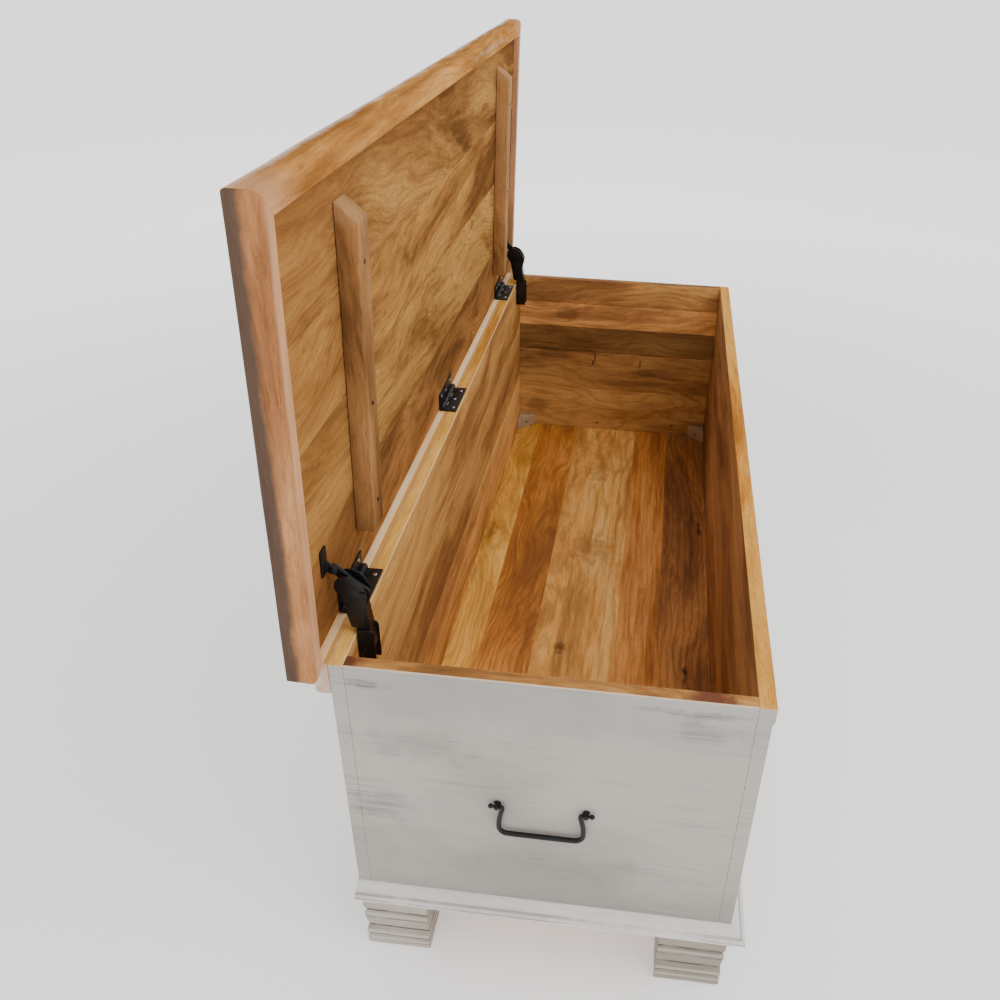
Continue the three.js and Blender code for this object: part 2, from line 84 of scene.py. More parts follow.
# ---------------------------------------------------------------- materials
class Net:
    """A material's node tree, with short calls for the nodes it uses."""

    def __init__(self, name):
        self.mat = bpy.data.materials.new(name)
        self.mat.use_nodes = True
        self.tree = self.mat.node_tree
        self.bsdf = self.tree.nodes["Principled BSDF"]
        self.pos = self.node("ShaderNodeTexCoord").outputs["Object"]

    def node(self, kind, **props):
        n = self.tree.nodes.new(kind)
        for k, v in props.items():
            setattr(n, k, v)
        return n

    def put(self, socket, value):
        if isinstance(value, bpy.types.NodeSocket):
            self.tree.links.new(value, socket)
        elif isinstance(value, (tuple, list)) and len(value) == 3 and len(socket.default_value) == 4:
            socket.default_value = (*value, 1)
        else:
            socket.default_value = value

    def math(self, op, a, b=0.0, c=0.0, clamp=False):
        n = self.node("ShaderNodeMath", operation=op, use_clamp=clamp)
        for i, v in enumerate((a, b, c)):
            self.put(n.inputs[i], v)
        return n.outputs[0]

    def times(self, a, b):
        return self.math("MULTIPLY", a, b)

    def plus(self, a, b):
        return self.math("ADD", a, b)

    def minus(self, a, b):
        return self.math("SUBTRACT", a, b)

    def abs(self, a):
        return self.math("ABSOLUTE", a)

    def vec(self, op, a, b=(0, 0, 0), out=0):
        n = self.node("ShaderNodeVectorMath", operation=op)
        self.put(n.inputs[0], a)
        self.put(n.inputs[1], b)
        return n.outputs[out]

    def scaled(self, scale, shift=(0, 0, 0), vector=None):
        n = self.node("ShaderNodeVectorMath", operation="MULTIPLY_ADD")
        self.put(n.inputs[0], vector or self.pos)
        self.put(n.inputs[1], scale)
        self.put(n.inputs[2], shift)
        return n.outputs[0]

    def noise(self, vector, scale=1.0, detail=3.0, rough=0.5, warp=0.0):
        n = self.node("ShaderNodeTexNoise")
        self.put(n.inputs["Vector"], vector)
        for k, v in (("Scale", scale), ("Detail", detail), ("Roughness", rough), ("Distortion", warp)):
            n.inputs[k].default_value = v
        return n.outputs["Fac"]

    def band(self, value, lo, hi, out_lo=0.0, out_hi=1.0):
        """value from lo to hi, smoothly, to out_lo to out_hi."""
        n = self.node("ShaderNodeMapRange", interpolation_type="SMOOTHSTEP")
        for i, v in enumerate((value, lo, hi, out_lo, out_hi)):
            self.put(n.inputs[i], v)
        return n.outputs[0]

    def mix(self, fac, a, b, blend="MIX"):
        n = self.node("ShaderNodeMix", data_type="RGBA", blend_type=blend)
        self.put(n.inputs[0], fac)
        self.put(n.inputs[6], a)
        self.put(n.inputs[7], b)
        return n.outputs[2]

    def ramp(self, value, stops, mode="LINEAR"):
        n = self.node("ShaderNodeValToRGB")
        n.color_ramp.interpolation = mode
        e = n.color_ramp.elements
        while len(e) < len(stops):
            e.new(0.5)
        for el, (p, c) in zip(e, stops):
            el.position = p
            el.color = (*c, 1)
        self.put(n.inputs[0], value)
        return n.outputs[0]

    def grey(self, value):
        n = self.node("ShaderNodeCombineColor")
        for i in range(3):
            self.put(n.inputs[i], value)
        return n.outputs[0]

    def xyz(self):
        n = self.node("ShaderNodeSeparateXYZ")
        self.put(n.inputs[0], self.pos)
        return n.outputs

    def spot(self, at, size, ragged=0.35, soft=0.6):
        """1 at a point, falling to 0 at its own half sizes, with a ragged edge."""
        d = self.vec("LENGTH", self.scaled([1 / s for s in size], [-a / s for a, s in zip(at, size)]), out=1)
        n = self.noise(self.pos, 60, 3)
        d = self.plus(d, self.times(self.minus(n, 0.5), 2 * ragged))
        return self.band(d, 1.0, 1.0 - soft)

    def bump(self, height, strength, distance):
        n = self.node("ShaderNodeBump")
        n.inputs["Strength"].default_value = strength
        n.inputs["Distance"].default_value = distance
        self.put(n.inputs["Height"], height)
        self.put(self.bsdf.inputs["Normal"], n.outputs[0])

    def finish(self, color, rough, specular=0.5, coat=0.0, metal=0.0):
        self.put(self.bsdf.inputs["Base Color"], color)
        self.put(self.bsdf.inputs["Roughness"], rough)
        self.bsdf.inputs["Specular IOR Level"].default_value = specular
        self.bsdf.inputs["Coat Weight"].default_value = coat
        self.bsdf.inputs["Coat Roughness"].default_value = 0.25
        self.bsdf.inputs["Metallic"].default_value = metal
        return self.mat


def rgb(*c):
    """sRGB 0-255 to linear."""
    return tuple((v / 255 / 12.92) if v <= 10 else ((v / 255 + 0.055) / 1.055) ** 2.4 for v in c)


def stretch(axis, along, across):
    return tuple(along if i == axis else across for i in range(3))


def grain(net, axis, seed, figure=1.0, slant=0.0):
    """Tone, streaks, fine grain, pores and rings of sawn mango wood, its grain along an axis."""
    rnd = random.Random(seed)
    off = tuple(rnd.uniform(-9, 9) for _ in range(3))
    p = net.pos
    if slant:
        rot = net.node("ShaderNodeVectorRotate", rotation_type="AXIS_ANGLE")
        net.put(rot.inputs["Vector"], p)
        rot.inputs["Axis"].default_value = (0, 1, 0)
        rot.inputs["Angle"].default_value = slant
        p = rot.outputs[0]
    drift = net.noise(net.scaled(stretch(axis, 2.2, 6), off, p), 1.0, 2, 0.5)
    shift = net.times(net.minus(drift, 0.5), 0.1 * figure)
    comb = net.node("ShaderNodeCombineXYZ")
    for i in range(3):
        net.put(comb.inputs[i], 0.0 if i == axis else shift)
    warped = net.vec("ADD", p, comb.outputs[0])
    tone = net.noise(net.scaled(stretch(axis, 2.4, 13), off, warped), 1.0, 5, 0.6, 0.5)
    streak = net.noise(net.scaled(stretch(axis, 6.5, 88), off, warped), 1.0, 7, 0.68)
    fine = net.noise(net.scaled(stretch(axis, 24, 420), off, warped), 1.0, 4, 0.62)
    pore = net.noise(net.scaled(stretch(axis, 60, 1200), off, warped), 1.0, 2, 0.5)
    ring = net.node("ShaderNodeTexWave", wave_type="RINGS", rings_direction="XYZ"[axis], wave_profile="SIN")
    net.put(ring.inputs["Vector"], net.scaled(stretch(axis, 0.9, 6), [o * 0.05 for o in off], warped))
    for k, v in (("Scale", 6.5), ("Distortion", 7.0), ("Detail", 4.0), ("Detail Scale", 1.6)):
        ring.inputs[k].default_value = v
    return tone, streak, fine, pore, ring.outputs["Fac"]


def wood(name, axis, seed, light, mid, dark, figure=1.0, slant=0.0, extra=None, rough=0.56, ringy=0.12,
         spec=0.08, lines=0.22):
    """Lacquered wood in three tones; extra adds the stains, worn places and painted light and shade of one
    piece.
    """
    net = Net(name)
    tone, streak, fine, pore, ring = grain(net, axis, seed, figure, slant)
    t = net.plus(net.times(tone, 0.66), net.times(streak, 0.34))
    light, mid, dark = (rgb(*k) for k in (light, mid, dark))
    deep = tuple(c * 0.55 for c in dark)
    color = net.ramp(net.band(t, 0.37, 0.63), [(0.0, dark), (0.5, mid), (1.0, light)])
    color = net.mix(net.times(net.band(streak, 0.55, 0.7), lines), color, deep)
    color = net.mix(net.times(net.band(ring, 0.5, 1.0), ringy), color, deep)
    shade = net.plus(net.times(fine, 0.7), 0.65)
    color = net.mix(1.0, color, net.grey(shade), "MULTIPLY")
    dots = net.band(pore, 0.6, 0.68)
    color = net.mix(net.times(dots, 0.45), color, deep)
    if extra:
        color = extra(net, color, (tone, streak, fine, ring))
    net.bump(net.plus(net.times(fine, 0.6), net.times(dots, -0.5)), 0.35, 0.0006)
    return net.finish(color, net.plus(net.times(fine, 0.22), rough - 0.1), spec)


def paint(name, axis, seed, light, dark, wear_and_shade=None, rub=0.5, rough=0.62):
    """White-wash over wood: a cloudy chalk coat, grain rubbed through in patches, small scuffs."""
    net = Net(name)
    rnd = random.Random(seed)
    off = tuple(rnd.uniform(-9, 9) for _ in range(3))
    broad = net.noise(net.scaled(stretch(axis, 3.0, 5.0), off), 1.0, 4, 0.55)
    brush = net.noise(net.scaled(stretch(axis, 5.0, 150), off), 1.0, 6, 0.7)
    fine = net.noise(net.scaled(stretch(axis, 22, 620), off), 1.0, 4, 0.62)
    color = net.mix(net.band(broad, 0.36, 0.64), rgb(*dark), rgb(*light))
    hair = net.noise(net.scaled(stretch(axis, 9, 470), off), 1.0, 3, 0.6)
    blotch = net.noise(net.scaled(stretch(axis, 5, 8), [o + 3 for o in off]), 1.0, 4, 0.6)
    patch = net.band(blotch, 0.44, 0.66)
    hairs = net.times(net.band(hair, 0.5, 0.66), net.plus(net.times(patch, 0.75), 0.1))
    color = net.mix(net.times(hairs, rub), color, rgb(*[c * 0.74 for c in dark]))
    color = net.mix(net.times(net.band(brush, 0.5, 0.7), 0.22), color, rgb(*[c * 0.88 for c in dark]))
    scuff = net.band(net.noise(net.scaled(stretch(axis, 14, 60), off), 1.0, 6, 0.7), 0.64, 0.74)
    color = net.mix(net.times(net.times(scuff, patch), 0.4), color, rgb(158, 138, 122))
    # The extra marks of one piece: wear, and on the plinth and feet also painted shade and highlights.
    if wear_and_shade:
        color = wear_and_shade(net, color, (broad, brush, fine, hair))
    net.bump(net.plus(net.times(fine, 0.7), net.times(brush, 0.6)), 0.4, 0.0007)
    return net.finish(color, net.plus(net.times(brush, 0.2), rough - 0.1), 0.2)


def iron_material(name, seed):
    net = Net(name)
    n = net.noise(net.pos, 420, 3, 0.6)
    broad = net.noise(net.pos, 60, 2)
    color = net.mix(broad, (0.003, 0.003, 0.003), (0.009, 0.008, 0.008))
    chip = net.band(net.noise(net.pos, 900 + seed, 4, 0.7), 0.7, 0.78)
    color = net.mix(net.times(chip, 0.4), color, (0.06, 0.055, 0.05))
    net.bump(n, 0.25, 0.0003)
    return net.finish(color, net.plus(net.times(n, 0.3), 0.24), 0.26)


# ---------------------------------------------------------------- geometry
BEVEL = {"profile": 0.6, "affect": "EDGES", "clamp_overlap": True}
GROOVE_HALF, GROOVE_DEPTH = 0.0009, 0.0012  # V joint between the boards inside a wall


def new_object(name, bm, body, materials):
    mesh = bpy.data.meshes.new(name)
    bm.to_mesh(mesh)
    bm.free()
    obj = bpy.data.objects.new(name, mesh)
    scene.collection.objects.link(obj)
    for m in materials:
        mesh.materials.append(m)
    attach(obj, body)
    return obj


def round_edges(obj, width, segments=2, angle=30):
    b = obj.modifiers.new("round", "BEVEL")
    b.width = width
    b.segments = segments
    b.limit_method = "ANGLE"
    b.angle_limit = math.radians(angle)
    b.harden_normals = True
    for p in obj.data.polygons:
        p.use_smooth = True
    return obj


def extrude(outline, s0, s1, place, steps=1):
    """A closed solid: the outline of (a, b) carried from s0 to s1 in steps."""
    bm = bmesh.new()
    rings = []
    for i in range(steps + 1):
        s = s0 + (s1 - s0) * i / steps
        rings.append([bm.verts.new(place(a, b, s)) for a, b in outline])
    n = len(outline)
    for r0, r1 in zip(rings, rings[1:]):
        for i in range(n):
            bm.faces.new((r0[i], r0[(i + 1) % n], r1[(i + 1) % n], r1[i]))
    bm.faces.new(rings[0][::-1])
    bm.faces.new(rings[-1])
    bmesh.ops.recalc_face_normals(bm, faces=bm.faces)
    return bm


def turned(profile, centre, axis, steps=20):
    """A turned piece: (distance along the axis, radius) pairs about a line through centre."""
    axis = Vector(axis).normalized()
    side = axis.orthogonal().normalized()
    other = axis.cross(side)
    bm = bmesh.new()
    rings = []
    for d, r in profile:
        ring = []
        for k in range(steps):
            t = 2 * math.pi * k / steps
            around = side * math.cos(t) + other * math.sin(t)
            ring.append(bm.verts.new(Vector(centre) + axis * d + around * r))
        rings.append(ring)
    for r0, r1 in zip(rings, rings[1:]):
        for k in range(steps):
            bm.faces.new((r0[k], r0[(k + 1) % steps], r1[(k + 1) % steps], r1[k]))
    bm.faces.new(rings[0][::-1])
    bm.faces.new(rings[-1])
    bmesh.ops.recalc_face_normals(bm, faces=bm.faces)
    return bm


def screw_head(centre, out, r=0.0026, slot_angle=0.5):
    """A countersunk cross-head screw, proud by a hair, as one mesh."""
    profile = [(-0.0012, r * 0.7), (0.0, r), (0.00025, r * 0.96), (0.00055, r * 0.62), (0.0006, r * 0.2)]
    bm = turned(profile, centre, out, 18)
    out = Vector(out).normalized()
    side = (Matrix.Rotation(slot_angle, 3, out) @ out.orthogonal()).normalized()
    # The cross is two thin quads in the second material, a painted shade for the recess.
    for turn in (side, out.cross(side)):
        w = out.cross(turn) * r * 0.13
        t = turn * r * 0.62
        c = Vector(centre) + out * 0.00066
        corners = ((-1, -1), (1, -1), (1, 1), (-1, 1))
        f = bm.faces.new([bm.verts.new(c + a * t + b * w - out * 0.0001 * abs(b)) for a, b in corners])
        f.material_index = 1
    return bm


# ---------------------------------------------------------------- wood of each piece
BROWN = ((170, 112, 60), (142, 88, 46), (98, 58, 30))


def near_edges(net, lo, hi, axes, width):
    """1 within a ragged width of the box faces across the given axes."""
    total = None
    p = net.xyz()
    n = net.times(net.minus(net.noise(net.pos, 38, 5, 0.65), 0.5), width * 2.6)
    for i in axes:
        mid, half = (lo[i] + hi[i]) / 2, (hi[i] - lo[i]) / 2
        d = net.minus(half, net.abs(net.minus(p[i], mid)))
        m = net.band(net.plus(d, n), width, 0.0)
        total = m if total is None else net.math("MAXIMUM", total, m)
    return total


iron = iron_material("black_iron", 0)
# Near-black finish for the cross on each screw head: painted shade standing for its recess.
recess_shade = Net("screw_recess_shade").finish((0.004, 0.004, 0.004), 0.7)
zinc = Net("zinc_screws").finish((0.62, 0.6, 0.57), 0.28, 0.5, 0.0, 1.0)
BODY = {n: b for b, ns in frame["record"]["behaviour"]["bodies"].items() for n in ns}


def refine(node, materials, pick=None, bevel=0.0008, cuts=(), jitter=0.00025, freq=18.0, angle=35,
           keep=None, seam=None):
    """A piece made from a CAD node: worn round edges, a slightly uneven surface and its own materials."""
    bm = bmesh.new()
    bm.from_mesh(nodes[node].data)
    bmesh.ops.remove_doubles(bm, verts=bm.verts, dist=2e-6)
    bmesh.ops.dissolve_limit(bm, angle_limit=math.radians(0.6), verts=bm.verts, edges=bm.edges)
    lo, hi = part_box(node)
    for axis, count in cuts:
        for k in range(1, count):
            co = [0, 0, 0]
            co[axis] = lo[axis] + (hi[axis] - lo[axis]) * k / count
            no = [float(i == axis) for i in range(3)]
            geom = bm.verts[:] + bm.edges[:] + bm.faces[:]
            bmesh.ops.bisect_plane(bm, geom=geom, plane_co=co, plane_no=no)
    if bevel:
        sharp = [e for e in bm.edges if len(e.link_faces) == 2 and e.calc_face_angle() > math.radians(angle)]
        sharp = [e for e in sharp if not (keep and keep(e))]
        bmesh.ops.bevel(bm, geom=sharp, offset=bevel, segments=2, **BEVEL)
    bm.normal_update()
    for v in bm.verts:
        p = v.co * freq
        v.co += v.normal * jitter * (noise.noise(p) - 0.35)
    if seam is not None:
        for v in bm.verts:
            for side, edge in ((-1, lo[seam]), (1, hi[seam])):
                if abs(v.co[seam] - edge) < 0.0004:
                    v.co[seam] = edge + side * 0.00013
    for f in bm.faces:
        f.smooth = True
        f.material_index = pick(f.calc_center_median(), f.normal) if pick else 0
    obj = new_object(node + "_piece", bm, BODY[node], materials)
    obj.data.set_sharp_from_angle(angle=math.radians(38))
    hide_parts(node)
    return obj


def grooved(name, node, along, lo, hi, inner, seams, materials, pick, lip=()):
    """A carcass panel, carried along an axis, with a V groove at each seam of its inner boards."""
    across = 1 - along
    face, outer = (hi[across], lo[across]) if inner > 0 else (lo[across], hi[across])
    outline = [(outer, lo.z), (face, lo.z)]
    for z in seams:
        outline += [(face, z - GROOVE_HALF), (face - inner * GROOVE_DEPTH, z), (face, z + GROOVE_HALF)]
    outline += [(face, hi.z), *(lip or [(outer, hi.z)])]
    steps = max(8, int((hi[along] - lo[along]) / 0.04))
    place = (lambda a, z, s: (s, a, z)) if along == 0 else (lambda a, z, s: (a, s, z))
    bm = extrude(outline, lo[along], hi[along], place, steps)
    sharp = [e for e in bm.edges if len(e.link_faces) == 2 and e.calc_face_angle() > math.radians(50)]
    if along == 1:
        ends = (lo.y, hi.y)
        sharp = [e for e in sharp if not all(min(abs(v.co.y - y) for y in ends) < 1e-5 for v in e.verts)]
    bmesh.ops.bevel(bm, geom=sharp, offset=0.0011, segments=3, **BEVEL)
    bm.normal_update()
    for v in bm.verts:
        v.co += v.normal * 0.0003 * (noise.noise(v.co * 14.0) - 0.5)
        if along == 1 and min(abs(v.co.y - y) for y in ends) < 0.0004:
            v.co.y += math.copysign(0.00025, v.co.y - (lo.y + hi.y) / 2)
    for f in bm.faces:
        f.smooth = True
        f.material_index = pick(f.calc_center_median(), f.normal)
    obj = new_object(name, bm, "carcass", materials)
    obj.data.set_sharp_from_angle(angle=math.radians(32))
    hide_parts(node)
    return obj


# ---------------------------------------------------------------- carcass
CREAM = ((226, 221, 212), (202, 196, 188))
GREY = ((179, 172, 163), (156, 149, 141))


# Rubbed places on the ends: y, depth below the top, half width, half height and strength.
END_RUBS = ((0.172, 0.021, 0.036, 0.008, 0.85), (-0.168, 0.017, 0.05, 0.007, 0.9),
            (-0.11, 0.016, 0.03, 0.004, 0.6), (0.13, 0.1, 0.1, 0.03, 0.4), (0.16, 0.2, 0.07, 0.03, 0.4),
            (-0.16, 0.04, 0.05, 0.02, 0.45), (-0.05, 0.27, 0.16, 0.03, 0.3))


def end_wear(net, color, parts):
    """Worn top edge and rubbed dark places of an end panel's outside, which also darkens towards the bottom.
    """
    p = net.xyz()
    hair = net.band(parts[3], 0.42, 0.58)
    bare = near_edges(net, (-9, -9, -9), (9, 9, TOP), (2,), 0.0016)
    color = net.mix(net.times(bare, 0.75), color, rgb(228, 204, 176))
    cool = net.times(net.band(p[2], TOP - 0.09, TOP), 0.3)
    color = net.mix(cool, color, rgb(166, 164, 166))
    for y, z, w, h, k in END_RUBS:
        for x in (-END, END):
            s = net.spot((x, y, TOP - z), (0.05, w, h), 0.9, 0.9)
            s = net.times(s, net.plus(net.times(hair, 0.7), 0.3))
            color = net.mix(net.times(s, k), color, rgb(104, 98, 98))
    # Darker towards the bottom of the panel.
    low = net.times(net.band(p[2], floor_top + 0.14, floor_top), 0.22)
    color = net.mix(low, color, rgb(140, 132, 124))
    return color


def long_wear(net, color, parts):
    """Worn edges and rubbed streaks of the front and back panels' outsides."""
    bare = near_edges(net, (-END, -9, floor_top - 0.004), (END, 9, TOP), (0, 2), 0.0026)
    color = net.mix(net.times(bare, 0.8), color, rgb(184, 142, 106))
    rub = net.noise(net.scaled((5, 12, 55), (2, 5, 1)), 1.0, 5, 0.62)
    patch = net.noise(net.scaled((1.6, 3, 5), (5, 1, 1)), 1.0, 3)
    fac = net.times(net.band(rub, 0.58, 0.7), net.band(patch, 0.48, 0.62))
    return net.mix(net.times(fac, 0.6), color, rgb(128, 114, 106))


def boards(seams, tones, z0, z1, marks=()):
    """Tone per inner board of a wall, by height, with nail marks and cracks."""

    def apply(net, color, parts):
        p = net.xyz()
        t = net.math("DIVIDE", net.minus(p[2], z0), z1 - z0)
        peak = max(tones)
        stops = [(f, (v / peak,) * 3) for f, v in zip((0, *seams), tones)]
        color = net.mix(1.0, color, net.ramp(t, stops, "CONSTANT"), "MULTIPLY")
        color = net.mix(1.0, color, (peak,) * 3, "MULTIPLY")
        for at, size, amount in marks:
            color = net.mix(net.times(net.spot(at, size, 0.5, 0.5), amount), color, rgb(38, 22, 14))
        return color

    return apply


z_in = floor_top - 0.004
wall_paint = paint("end_paint", 1, 3, GREY[0], GREY[1], end_wear)
long_paint = paint("long_paint", 0, 5, *CREAM, long_wear)
END_SEAMS = (0.29, 0.54, 0.7, 0.85)
LONG_SEAMS = (0.34, 0.67)
end_seams = [z_in + (TOP - z_in) * f for f in END_SEAMS]
long_seams = [z_in + (TOP - z_in) * f for f in LONG_SEAMS]
FAR_MARKS = ((0.032, 0.297, 0.0016, 0.013), (0.036, 0.286, 0.0016, 0.007), (-0.063, 0.288, 0.0014, 0.012),
             (0.168, 0.142, 0.003, 0.003), (-0.14, 0.15, 0.003, 0.003), (0.02, 0.145, 0.003, 0.003))
far_marks = [((END - WALL, y, z), (0.02, w, h), 0.9) for y, z, w, h in FAR_MARKS]
far_marks += [((END - WALL, y, z), (0.02, w, h), 0.35) for y, z, w, h in (
    (0.12, 0.3, 0.05, 0.014), (-0.1, 0.27, 0.07, 0.012), (0.09, 0.39, 0.03, 0.02), (0.15, 0.18, 0.03, 0.02))]
end_wood = wood("end_inner_wood", 1, 11, (208, 160, 94), (180, 130, 74), (132, 90, 52), 1.1, 0, boards(
    END_SEAMS, (0.92, 0.78, 0.44, 1.6, 1.15), z_in, TOP, far_marks), ringy=0.25)


def top_wear(net, color, parts):
    """Two stained corners, rubbed dark grain and a pale worn outer arris on the ends' top edges."""
    for y, w, k, tone in ((0.19, 0.022, 1.0, (112, 66, 46)), (-0.165, 0.034, 1.0, (112, 66, 46)),
                          (0.085, 0.05, 0.55, (98, 66, 40)), (-0.03, 0.05, 0.3, (110, 74, 44))):
        s = net.spot((-END + 0.007, y, TOP), (0.03, w, 0.02), 0.6, 0.7)
        if k < 1:
            s = net.times(s, net.band(parts[1], 0.4, 0.55))
        color = net.mix(net.times(s, k), color, rgb(*tone))
    arris = net.band(net.abs(net.xyz()[0]), END - 0.0019, END - 0.0009)
    return net.mix(net.times(arris, 0.8), color, rgb(240, 218, 186))


top_wood_y = wood("end_top_wood", 1, 21, (208, 158, 92), (180, 126, 68), (116, 74, 40), 1.4, 0, top_wear)
top_wood_x = wood("front_top_wood", 0, 22, (226, 168, 86), (210, 144, 64), (168, 106, 46), 1.0, 0, spec=0.0)


def back_arris(net, color, parts):
    """The pale inner arris of the back panel's top: partly worn bare wood, partly a painted highlight."""
    arris = net.band(net.xyz()[1], back_lo.y + 0.0024, back_lo.y + 0.001)
    return net.mix(net.times(arris, 0.6), color, rgb(250, 224, 172))


back_top = wood("back_top_wood", 0, 23, (244, 194, 104), (226, 168, 78), (188, 126, 54), 1.0, 0, back_arris,
                spec=0.0)
front_in = wood("front_inner_wood", 0, 31, (192, 150, 104), (166, 125, 84), (122, 88, 60), 1.2, 0, boards(
    LONG_SEAMS, (1.0, 0.88, 1.08), z_in, TOP))
back_in = wood("back_inner_wood", 0, 37, (228, 175, 102), (200, 145, 80), (148, 100, 58), 1.3, 0.05, boards(
    LONG_SEAMS, (1.24, 0.9, 1.0), z_in, TOP))

for side, s in SIDES:
    lo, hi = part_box(side + "_panel")

    def end_pick(c, n, s=s):
        if n.z > 0.5 and c.z > TOP - 0.003:
            return 2
        return 0 if n.x * s > 0.3 or abs(n.y) > 0.5 or c.x * s > END - 0.002 else 1

    grooved(side + "_end", side + "_panel", 1, lo, hi, -s, end_seams, [wall_paint, end_wood, top_wood_y],
            end_pick)


def front_pick(c, n):
    if n.z > 0.5 and c.z > TOP - 0.003:
        return 2
    return 3 if abs(n.x) > 0.6 else (1 if n.y > 0.3 else 0)


face_y = front_hi.y - WALL
lip = [(front_lo.y, front_hi.z), (front_lo.y, TOP - 0.018), (front_lo.y + 0.0011, TOP - 0.0194),
       (face_y, TOP - 0.0225)]
front_box = (Vector((front_lo.x, face_y, front_lo.z)), front_hi)
grooved("front_wall", "front_panel", 0, *front_box, 1, long_seams,
        [long_paint, front_in, top_wood_x, wall_paint], front_pick, lip)


def back_pick(c, n):
    if n.z > 0.5 and c.z > TOP - 0.003:
        return 2
    return 3 if abs(n.x) > 0.6 else (1 if n.y < -0.3 else 0)


grooved("back_wall", "back_panel", 0, back_lo, back_hi, -1, long_seams,
        [long_paint, back_in, back_top, wall_paint], back_pick)

rail_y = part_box("back_rail")[0].y


def rail_wear(net, color, parts):
    """Bare wood along the rail's inner top edge."""
    inner = net.band(net.xyz()[1], rail_y + 0.0055, rail_y + 0.0035)
    top = net.band(net.xyz()[2], TOP - 0.002, TOP - 0.001)
    return net.mix(net.times(inner, top), color, rgb(206, 148, 70))


rail_paint = paint("rail_paint", 0, 9, (255, 228, 180), (246, 208, 156), rail_wear)
refine("back_rail", [rail_paint, long_paint], lambda c, n: 0 if n.z > 0.5 else 1, bevel=0.0012,
       cuts=((0, 28),), jitter=0.0004)


# Rubbed nose, dark ragged lines along the creases, and painted shade in the recess under a plinth's
# moulding.
def plinth_wear_and_shade(net, color, parts):
    p = net.xyz()
    lo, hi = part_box("plinth_front")
    rub = net.noise(net.scaled((14, 14, 60), (4, 4, 4)), 1.0, 5, 0.65)
    nose = net.band(net.abs(net.minus(p[2], hi.z - 0.0125)), 0.007, 0.002)
    color = net.mix(net.times(net.times(nose, net.band(rub, 0.5, 0.64)), 0.16), color, rgb(150, 122, 98))
    rag = net.band(net.noise(net.scaled((9, 9, 20), (6, 1, 2)), 1.0, 5, 0.65), 0.34, 0.52)
    for depth, k in ((0.0093, 0.5), (0.0127, 0.6)):
        line = net.band(net.abs(net.minus(p[2], hi.z - depth)), 0.0011, 0.0003)
        color = net.mix(net.times(net.times(line, rag), k), color, rgb(122, 92, 80))
    low = net.band(net.abs(net.minus(p[2], hi.z - 0.0185)), 0.0022, 0.0006)
    color = net.mix(net.times(net.times(low, rag), 0.7), color, rgb(118, 84, 76))
    # Painted shade in the recessed fillet below the moulding.
    deep = net.band(p[2], hi.z - 0.019, hi.z - 0.0225)
    return net.mix(net.times(deep, 0.45), color, rgb(116, 100, 90))


plinth_long = paint("plinth_paint_long", 0, 12, (232, 229, 224), (210, 206, 200), plinth_wear_and_shade, 0.6)
plinth_end = paint("plinth_paint_end", 1, 13, (232, 229, 224), (210, 206, 200), plinth_wear_and_shade, 0.6)
for node in ("plinth_front", "plinth_back"):
    refine(node, [plinth_long], bevel=0.0007, cuts=((0, 30),), jitter=0.0004)
for node in ("plinth_left", "plinth_right"):
    refine(node, [plinth_end], bevel=0.0007, cuts=((1, 14),), jitter=0.0004)

# A lip at each end of the back plinth closes the floor's rebate in the side plinths.
lip_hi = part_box("plinth_back")[1]
rebate = end_lo.x - 0.0003
for side, s in SIDES:
    y0, y1, z0, z1 = back_lo.y + 0.0005, lip_hi.y, lip_hi.z - 0.008, lip_hi.z - 0.0003
    edge = [(y0, z0), (y0, z1), (y1 - 0.001, z1), (y1, z1 - 0.001), (y1, z0)]
    bm = extrude(edge, s * (lip_hi.x + 0.0002), s * rebate, lambda a, b, x: (x, a, b))
    round_edges(new_object("plinth_back_lip_" + side, bm, "carcass", [plinth_long]), 0.0004)


def foot_spots_and_painted_light(net, color, parts):
    """Painted shade in the foot's grooves and painted highlights on its ridges, with speckles."""
    p = net.xyz()
    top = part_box("foot_front_left")[1].z
    # Painted shade along the grooves.
    for down, w in ((0.0335, 0.0024), (0.0655, 0.0026), (0.0805, 0.0016), (0.045, 0.0012), (0.0018, 0.0016)):
        g = net.band(net.abs(net.minus(p[2], top - down)), w, w * 0.3)
        rag = net.band(net.noise(net.scaled((30, 30, 120), (1, 2, 3)), 1.0, 4), 0.3, 0.55)
        color = net.mix(net.times(net.times(g, rag), 0.9), color, rgb(70, 60, 52))
    # Painted highlights along the ridges.
    for down in (0.006, 0.038, 0.0735, 0.0865):
        g = net.band(net.abs(net.minus(p[2], top - down)), 0.0026, 0.0006)
        color = net.mix(net.times(g, 0.4), color, rgb(214, 208, 198))
    spots = net.band(net.noise(net.scaled((60, 60, 140), (7, 3, 5)), 1.0, 5, 0.7), 0.56, 0.68)
    return net.mix(net.times(spots, 0.4), color, rgb(140, 124, 108))


foot_paint = paint("foot_paint", 1, 17, (182, 173, 160), (154, 144, 131), foot_spots_and_painted_light, 0.8)
for row in ("front", "back"):
    for side, s in SIDES:
        refine(f"foot_{row}_{side}", [foot_paint], bevel=0.0006, cuts=((0, 9), (1, 9)), jitter=0.00045,
               freq=60)

# Floor, bearers and corner blocks.
# The first, front board is darker: a painted shadow of the front wall lying on it.
FLOOR_TONES = (
    ((186, 126, 68), (152, 98, 52), (104, 66, 34)), ((222, 156, 84), (198, 128, 62), (152, 92, 44)),
    ((240, 188, 110), (218, 156, 80), (166, 116, 62)), ((214, 148, 76), (188, 120, 54), (142, 88, 42)),
    ((244, 190, 100), (220, 160, 72), (176, 122, 50)))
